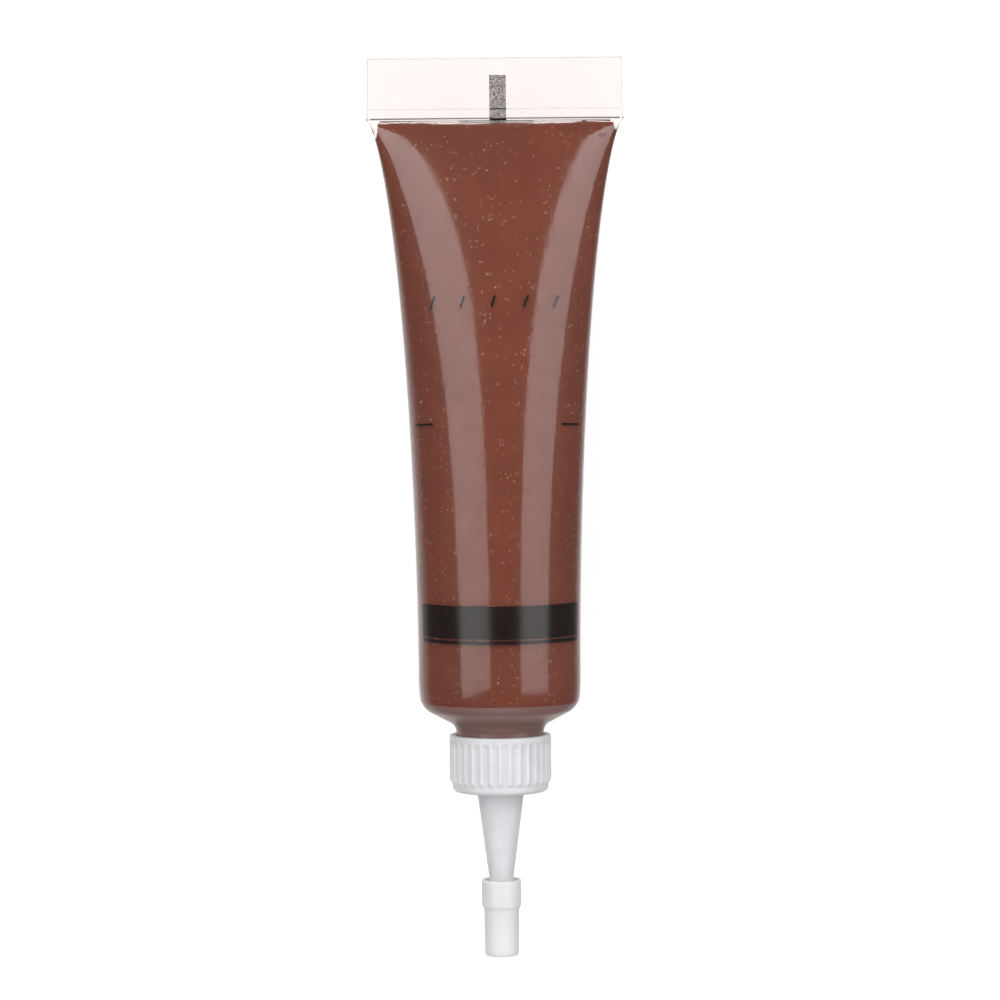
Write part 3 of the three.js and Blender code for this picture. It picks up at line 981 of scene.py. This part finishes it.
@dataclass(frozen=True)
class Thread:
    """A right-handed screw ridge on a round wall."""

    origin: float
    low: float
    high: float
    pitch: float = 1.6
    root: float = 0.7
    crest: float = 0.3
    end_lift: float = 0.4

    def lift(self, height: np.ndarray, turn: np.ndarray) -> np.ndarray:
        """Share of the ridge's full depth at a height and a turn.

        The distance to the nearest turn of the helix runs down a flank from the crest's width to the
        root's, and both ends of the ridge run out over a third of a turn's height.

        Args:
            height: heights along the axis.
            turn: angles round the axis in radians.

        Returns:
            Values from 0 to 1.
        """
        phase = (height - self.origin) / self.pitch - turn / (2 * np.pi)
        away = np.abs(phase - np.round(phase)) * self.pitch
        flank = np.clip((self.root / 2 - away) / ((self.root - self.crest) / 2), 0, 1)
        inside = np.minimum(height - self.low, self.high - height)
        return flank * np.clip(inside / (self.pitch / 3) + self.end_lift, 0, 1)


@dataclass(frozen=True)
class Head:
    """The milky moulded head: skirt, shoulder and threaded neck, with the foil over its mouth."""

    place: Placement
    skirt_radius: float = 10.3
    skirt_wall: float = 0.8
    skirt_length: float = 2.5
    rim_radius: float = 10.75
    rim_top: float = -0.2
    rim_centre: tuple[float, float] = (8.3, -0.3)
    rim_round: float = 2.45
    slope: float = 25.0
    neck_radius: float = 5.95
    neck_fillet: float = 1.5
    neck_top: float = -5.22
    land_end: float = -6.92
    land_chamfer: float = 0.15
    neck_end: float = -10.42
    neck_rows: int = 44
    core_radius: float = 4.75
    thread_depth: float = 0.8
    thread_inset: float = 0.55
    mouth_radius: float = 3.0
    paste_lap: float = 0.04
    spill: float = 0.03
    spill_top: float = 0.06
    spill_end: float = 0.01
    foil_radius: float = 4.6
    foil_top: float = -10.62
    foil_thick: float = 0.2
    foil_roll: float = 0.06
    foil_thinning: float = 0.05
    shoulder_points: int = 24
    sides: int = 144

    def hollow(self, gap: float) -> np.ndarray:
        """Profile of the head's hollow from under the skirt down to the mouth, an arc, a slope and a bore.

        Args:
            gap: how far inside the wall the profile lies.

        Returns:
            Rows of radius and height.
        """
        inside = self.skirt_radius - self.skirt_wall
        bend = arc(self.rim_centre, inside - self.rim_centre[0] - gap, 0, self.slope - 90)
        mouth = self.mouth_radius - gap
        mouth_top = bend[-1, 1] - (bend[-1, 0] - mouth) * math.tan(math.radians(self.slope))
        return np.concatenate([bend, [(mouth, mouth_top), (mouth, self.neck_end)]])

    def plug(self) -> np.ndarray:
        """Profile of the paste in the head, from the mouth up, over the skirt's edge and down to the rim.

        Returns:
            Rows of radius and height.
        """
        inner = self.hollow(-self.paste_lap)[::-1]
        outside, edge = self.skirt_radius + self.spill, self.skirt_length + self.spill_top
        rim, end = self.rim_top + self.spill, self.rim_radius + self.spill_end
        return np.concatenate([inner, [(inner[-1, 0], edge), (outside, edge), (outside, rim), (end, rim)]])

    def build_head(self) -> bpy.types.Object:
        """Builds the head by turning its closed profile, with the thread raised on the neck's rows.

        Returns:
            The head.
        """
        centre = (self.neck_radius + self.neck_fillet, self.neck_top)
        fillet = arc(centre, self.neck_fillet, 180, 90 + self.slope)
        shoulder = arc(self.rim_centre, self.rim_round, self.slope - 90, 0, self.shoulder_points)
        neck = np.linspace(self.neck_end, self.land_end, self.neck_rows)
        outer = np.concatenate([
            np.stack([np.full(self.neck_rows, self.core_radius), neck], axis=-1),
            [(self.neck_radius - self.land_chamfer, self.land_end),
             (self.neck_radius, self.land_end + self.land_chamfer)],
            fillet, shoulder,
            [(self.rim_radius, self.rim_top), (self.skirt_radius, self.rim_top),
             (self.skirt_radius, self.skirt_length),
             (self.skirt_radius - self.skirt_wall, self.skirt_length)],
            self.hollow(0.0),
        ])
        profile = np.repeat(outer[:, None], self.sides, axis=1)
        thread = Thread(self.land_end, self.neck_end + self.thread_inset, self.land_end - self.thread_inset)
        profile[:self.neck_rows, :, 0] += self.thread_depth * thread.lift(neck[:, None], turns(self.sides))
        points = self.place.to_frame(turned(profile, self.sides))
        return skin("head_moulding", points, Cap.LOOP, Cap.LOOP)

    def build_foil(self) -> bpy.types.Object:
        """Builds the foil disc over the mouth by turning its profile, sagging inside the neck's lip.

        Returns:
            The foil.
        """
        lip = (self.mouth_radius + self.core_radius) / 2
        radius = np.array([0.05, 1.5, lip - 0.9, lip - 0.5, lip, lip + 0.5,
                           self.foil_radius - self.foil_roll, self.foil_radius])
        sag = np.array([0.05, 0.05, 0.04, 0.02, 0.0, 0.0, 0.0, self.foil_roll])
        upper = np.stack([radius, self.foil_top - sag], axis=-1)
        lower = self.foil_top - self.foil_thick + self.foil_thinning
        under = np.stack([radius, lower - sag], axis=-1)[::-1]
        under[0, 1] = self.foil_top - self.foil_thick / 2
        points = self.place.to_frame(turned(np.concatenate([upper, under]), self.sides))
        return skin("mouth_foil", points, Cap.FAN, Cap.FAN)

    def dress(self) -> None:
        """Builds and dresses the head and its foil."""
        milky, foil = MilkyPlastic().material(), BareFoil().material()
        settle(self.build_head(), "tube", "natural_plastic", milky, "tube_head", clear=True)
        settle(self.build_foil(), "tube", "bare_foil", foil, "mouth_seal")


@dataclass(frozen=True)
class Nozzle:
    """The screw-on nozzle: ribbed collar, tapered spout and the push-on cap over its tip."""

    place: Placement
    collar_end: float = -13.42
    collar_seat: float = 0.15
    collar_length: float = 7.72
    crest: float = 6.87
    valley: float = 6.54
    foot: float = 6.5
    foot_height: float = 1.2
    foot_round: float = 0.7
    foot_points: int = 7
    foot_fade: float = 0.12
    groove_rise: float = 0.15
    rib_rise: float = 0.38
    band_start: float = 6.95
    band_slope: float = 0.6
    rim_chamfer: tuple[float, float] = (0.14, 0.12)
    edge_round: float = 0.16
    counterbore: float = 6.04
    counterbore_start: float = 6.3
    thread_radius: float = 5.8
    thread_depth: float = 0.8
    thread_origin: float = 7.3
    thread_low: float = 3.0
    thread_inset: float = 0.35
    thread_rows: int = 48
    end_wall: float = 1.15
    hole: float = 3.32
    ribs: int = 32
    rib_steps: int = 14
    rib_root: float = 0.94
    rib_crest: float = 0.18
    spout_length: float = 18.7
    spout_root: float = 3.17
    spout_tip: float = 0.7
    spout_round: float = 0.12
    root_wall: float = 0.94
    tip_wall: float = 0.375
    flange_radius: float = 4.75
    flange_low: float = 1.5
    flange_high: float = 2.4
    cap_rim: float = -25.27
    cap_overlap: float = 6.85
    cap_end_wall: float = 3.2
    cap_rim_height: float = 3.55
    cap_rim_wall: float = 0.4
    cap_wall: float = 1.09
    cap_flare: float = 0.5
    cap_flare_height: float = 0.6
    cap_step: float = 0.32
    cap_draft: float = 0.1
    cap_gap: float = 0.15
    cap_round: float = 0.3
    cap_corner: int = 7
    cap_middle: float = 0.06
    seat: float = 0.2
    sides: int = 96

    def raised(self, rings: np.ndarray, height: float) -> np.ndarray:
        """Lifts rings along the axis by a height, and carries them into the shared frame."""
        return self.place.to_frame(rings + np.array((0.0, height, 0.0)))

    def collar_outline(self, wall: float, low_edge: float) -> np.ndarray:
        """Gives the profile of the collar's outer and end faces with the ribbed stretch at one radius.

        Args:
            wall: radius of the ribbed stretch.
            low_edge: height at which that stretch begins.

        Returns:
            Rows of radius and height, with rounded corners.
        """
        end = arc((self.foot - self.foot_round, self.foot_round), self.foot_round, -90, 0, self.foot_points)
        inward, down = self.rim_chamfer
        return rounded(np.array([
            (self.hole, self.end_wall), (self.hole, 0.0), *end,
            (self.foot, self.foot_height - self.foot_fade), (wall, low_edge),
            (wall, self.band_start - self.band_slope), (self.crest, self.band_start),
            (self.crest, self.collar_length - down), (self.crest - inward, self.collar_length),
            (self.counterbore, self.collar_length), (self.counterbore, self.counterbore_start),
        ]), self.edge_round)

    def build_collar(self) -> bpy.types.Object:
        """Builds the ribbed collar.

        Two closed profiles, one through a groove and one through a rib, are blended by a weight that is 1
        on a rib's crest and falls to 0 down its flank as a smooth step. The inside thread is raised on the
        rows of the bore.

        Returns:
            The collar.
        """
        groove = self.collar_outline(self.valley, self.foot_height + self.groove_rise)
        ridge = self.collar_outline(self.crest, self.foot_height + self.rib_rise)
        sides = self.ribs * self.rib_steps
        turn = turns(sides)
        pitch = 2 * math.pi * self.valley / self.ribs
        beside = np.abs((turn * self.ribs / (2 * np.pi) + 0.5) % 1 - 0.5) * pitch
        flank = np.clip((self.rib_root / 2 - beside) / ((self.rib_root - self.rib_crest) / 2), 0, 1)
        weight = smooth_step(flank)[None, :, None]
        outer = groove[:, None] * (1 - weight) + ridge[:, None] * weight
        bore = np.linspace(self.counterbore_start, self.end_wall, self.thread_rows)
        thread = Thread(self.thread_origin, self.thread_low, self.counterbore_start - self.thread_inset)
        depth = self.thread_depth * thread.lift(bore[:, None], turn)
        wall = np.stack([self.thread_radius - depth, np.broadcast_to(bore[:, None], depth.shape)], axis=-1)
        rings = turned(np.concatenate([outer, wall]), sides)
        points = self.raised(rings, self.collar_end + self.collar_seat)
        return skin("collar_nut", points, Cap.LOOP, Cap.LOOP)

    def spout_radius(self, depth: float) -> float:
        """Gives the spout's outer radius at a depth below the collar's end, a straight taper."""
        return self.spout_root + (self.spout_tip - self.spout_root) * depth / self.spout_length

    def build_spout(self) -> bpy.types.Object:
        """Builds the spout with its flange by turning a closed profile with softened corners.

        Returns:
            The spout.
        """
        profile = rounded(np.array([
            (self.spout_tip - self.tip_wall, -self.spout_length), (self.spout_tip, -self.spout_length),
            (self.spout_root, 0.0), (self.spout_root, self.flange_low),
            (self.flange_radius, self.flange_low), (self.flange_radius, self.flange_high),
            (self.spout_root - self.root_wall, self.flange_high),
        ]), self.spout_round)
        points = self.raised(turned(profile, self.sides), self.collar_end)
        return skin("spout_cone", points, Cap.LOOP, Cap.LOOP)

    def build_cap(self) -> bpy.types.Object:
        """Builds the tip cap by turning its outside, from the nose up, and then its socket, down to the end.

        Every corner is rounded but the first and the last, which stand by the axis and stay sharp.

        Returns:
            The cap.
        """
        depth = self.spout_length - self.cap_overlap
        mouth, shoulder, throat, end = (
            self.spout_radius(depth + below) + self.cap_gap
            for below in (0.0, self.cap_rim_height, self.cap_flare_height, self.cap_overlap))
        bottom = self.cap_overlap + self.seat
        nose = bottom + self.cap_end_wall
        rim = mouth + self.cap_flare + self.cap_rim_wall
        body = shoulder + self.cap_wall
        outline = rounded(np.array([
            (self.cap_middle, -nose), (body - self.cap_draft, -nose),
            (body, -self.cap_rim_height - self.cap_step), (rim, -self.cap_rim_height), (rim, 0.0),
            (mouth + self.cap_flare, 0.0), (throat, -self.cap_flare_height), (end, -bottom),
            (self.cap_middle, -bottom),
        ]), self.cap_round, self.cap_corner)
        profile = np.concatenate([[(self.cap_middle, -nose)], outline[self.cap_corner:-self.cap_corner],
                                  [(self.cap_middle, -bottom)]])
        return skin("cap_shell", self.raised(turned(profile, self.sides), self.cap_rim), Cap.FAN, Cap.FAN)

    def dress(self) -> None:
        """Builds and dresses the collar, the spout and the cap."""
        white = WhitePlastic().material()
        settle(self.build_collar(), "collar", "white_plastic", white, "nozzle_collar")
        settle(self.build_spout(), "spout", "white_plastic", white, "nozzle_spout")
        settle(self.build_cap(), "cap", "cap_plastic", CapPlastic().material(), "tip_cap")


@dataclass(frozen=True)
class TableAcrylic(Finish):
    """Opal acrylic sheet lit from below: an even white without gloss."""

    name: str = "white_acrylic_table"
    roughness: float = 0.6
    ior: float = 1.49
    colour: str = "#7c7c7c"
    glow: float = 0.86

    def material(self) -> bpy.types.Material:
        """Makes the sheet, which gives most of its white itself."""
        glow = {"Emission_Color": WHITE, "Emission_Strength": self.glow}
        return self.start(Base_Color=linear(self.colour), **glow)[0]


@dataclass(frozen=True)
class Studio:
    """White table, two soft boxes beside the camera, a fill, and the camera square above the tube's axis."""

    place: Placement
    table_half: float = 1.6
    ambient: float = 0.16
    below: float = 1.0
    sky_lean: float = 0.15
    sky_span: tuple[float, float] = (-0.9, -0.55)
    box_distance: float = 0.8
    box_length: float = 1.35
    box_shift: float = 0.52
    box_dim: float = 0.68
    box_bright: float = 1.6
    box_fade: float = 0.7
    left_angle: float = -41.0
    left_width: float = 0.62
    left_turn: float = 12.0
    right_angle: float = 50.0
    right_width: float = 0.6
    radiance: float = 2.6
    fill_place: tuple[float, float, float] = (0.0, -0.75, 0.5)
    fill_size: float = 0.7
    fill_power: float = 3.0
    pixels_per_mm: float = 7.365
    camera_distance: float = 330.0
    camera_aim: tuple[float, float] = (0.42, 26.2)
    camera_roll: float = -0.5
    camera_near: float = 0.01

    def build_table(self) -> None:
        """Builds the table top as one flat sheet at the floor's level, lit from below like a light table."""
        half = self.table_half
        corners = [(-half, -half, 0), (half, -half, 0), (half, half, 0), (-half, half, 0)]
        mesh = bpy.data.meshes.new("table_top")
        mesh.from_pydata(corners, [], [(0, 1, 2, 3)])
        mesh.materials.append(TableAcrylic().material())
        top = bpy.data.objects.new("table_top", mesh)
        bpy.context.scene.collection.objects.link(top)
        top.visible_glossy = False
        top.visible_diffuse = False

    def add_box(self, name: str, angle: float, width: float, turn: float) -> None:
        """Adds a soft box that leans over the tube's axis and faces it, brighter towards the tail.

        Args:
            name: the lamp's name.
            angle: lean from the vertical in degrees, positive to the right.
            width: size across the tube in metres.
            turn: turn of its long side away from the tube's axis in degrees.
        """
        lamp = bpy.data.lights.new(name, "AREA")
        lamp.shape = "RECTANGLE"
        lamp.size, lamp.size_y = width, self.box_length
        lamp.energy = self.radiance * math.pi * width * self.box_length
        lamp.use_nodes = True
        tree = lamp.node_tree
        across = add_node(tree, "ShaderNodeTexCoord").outputs["UV"]
        along = add_node(tree, "ShaderNodeSeparateXYZ", {"Vector": across}).outputs["Y"]
        level = Finish.between(tree, along, self.box_dim, self.box_bright, 0.0, self.box_fade)
        tree.links.new(level, tree.nodes["Emission"].inputs["Strength"])
        holder = bpy.data.objects.new(name, lamp)
        lean = math.radians(angle)
        away = self.box_distance
        holder.location = (away * math.sin(lean), self.box_shift, away * math.cos(lean))
        holder.rotation_mode = "ZYX"
        holder.rotation_euler = (0.0, lean, math.radians(turn))
        holder.visible_camera = False
        bpy.context.scene.collection.objects.link(holder)

    def add_fill(self) -> None:
        """Adds the fill at the spout's end, which lights the shoulder and isn't seen in the gloss."""
        lamp = bpy.data.lights.new("soft_fill", "AREA")
        lamp.shape = "SQUARE"
        lamp.size = self.fill_size
        lamp.energy = self.fill_power
        holder = bpy.data.objects.new("soft_fill", lamp)
        holder.location = self.fill_place
        _, back, height = self.fill_place
        holder.rotation_euler = (math.atan2(-back, height), 0.0, 0.0)
        holder.visible_camera = False
        holder.visible_glossy = False
        bpy.context.scene.collection.objects.link(holder)

    def add_camera(self) -> None:
        """Adds the camera, square onto the tube's axis, with the tail at the top of the picture."""
        camera = bpy.data.cameras.new("camera")
        camera.sensor_width = SENSOR_MM
        camera.lens = self.pixels_per_mm * self.camera_distance * SENSOR_MM / IMAGE_PIXELS
        camera.clip_start = self.camera_near
        holder = bpy.data.objects.new("camera", camera)
        across, along = self.camera_aim
        holder.location = self.place.to_frame(np.array((across, along, self.camera_distance)))
        lean = math.atan2(self.place.along[2], self.place.along[1])
        holder.rotation_euler = (lean, 0.0, math.radians(self.camera_roll))
        bpy.context.scene.collection.objects.link(holder)
        bpy.context.scene.camera = holder

    def add_surroundings(self) -> None:
        """Adds the dim surroundings, which turn white where a ray looks steeply down past the table."""
        world = bpy.data.worlds.new("studio")
        world.use_nodes = True
        tree = world.node_tree
        look = add_node(tree, "ShaderNodeTexCoord").outputs["Generated"]
        tilt = {0: look, 1: (self.sky_lean, 0.0, 1.0)}
        rise = add_node(tree, "ShaderNodeVectorMath", tilt, operation="DOT_PRODUCT").outputs["Value"]
        level = Finish.between(tree, rise, self.below, self.ambient, *self.sky_span)
        tree.links.new(level, tree.nodes["Background"].inputs["Strength"])
        tree.nodes["Background"].inputs["Color"].default_value = WHITE
        bpy.context.scene.world = world

    def build(self) -> None:
        """Builds the table, the lamps, the surroundings and the camera."""
        self.build_table()
        self.add_box("soft_box_left", self.left_angle, self.left_width, self.left_turn)
        self.add_box("soft_box_right", self.right_angle, self.right_width, 0.0)
        self.add_fill()
        self.add_surroundings()
        bpy.context.scene.view_settings.view_transform = "Standard"
        self.add_camera()


def main() -> None:
    """Builds the tube, its nozzle and the studio."""
    logging.basicConfig(level=logging.INFO, format="%(message)s")
    hinge = next(joint for joint in frame["joints"] if joint["name"] == "collar_turn")
    place = Placement.on_joint(hinge, Nozzle.collar_end)
    sleeve, head, nozzle = Sleeve(place), Head(place), Nozzle(place)
    sleeve.dress_wall(head.plug())
    head.dress()
    nozzle.dress()
    sleeve.dress_marks()
    Studio(place).build()


if __name__ == "__main__":
    main()
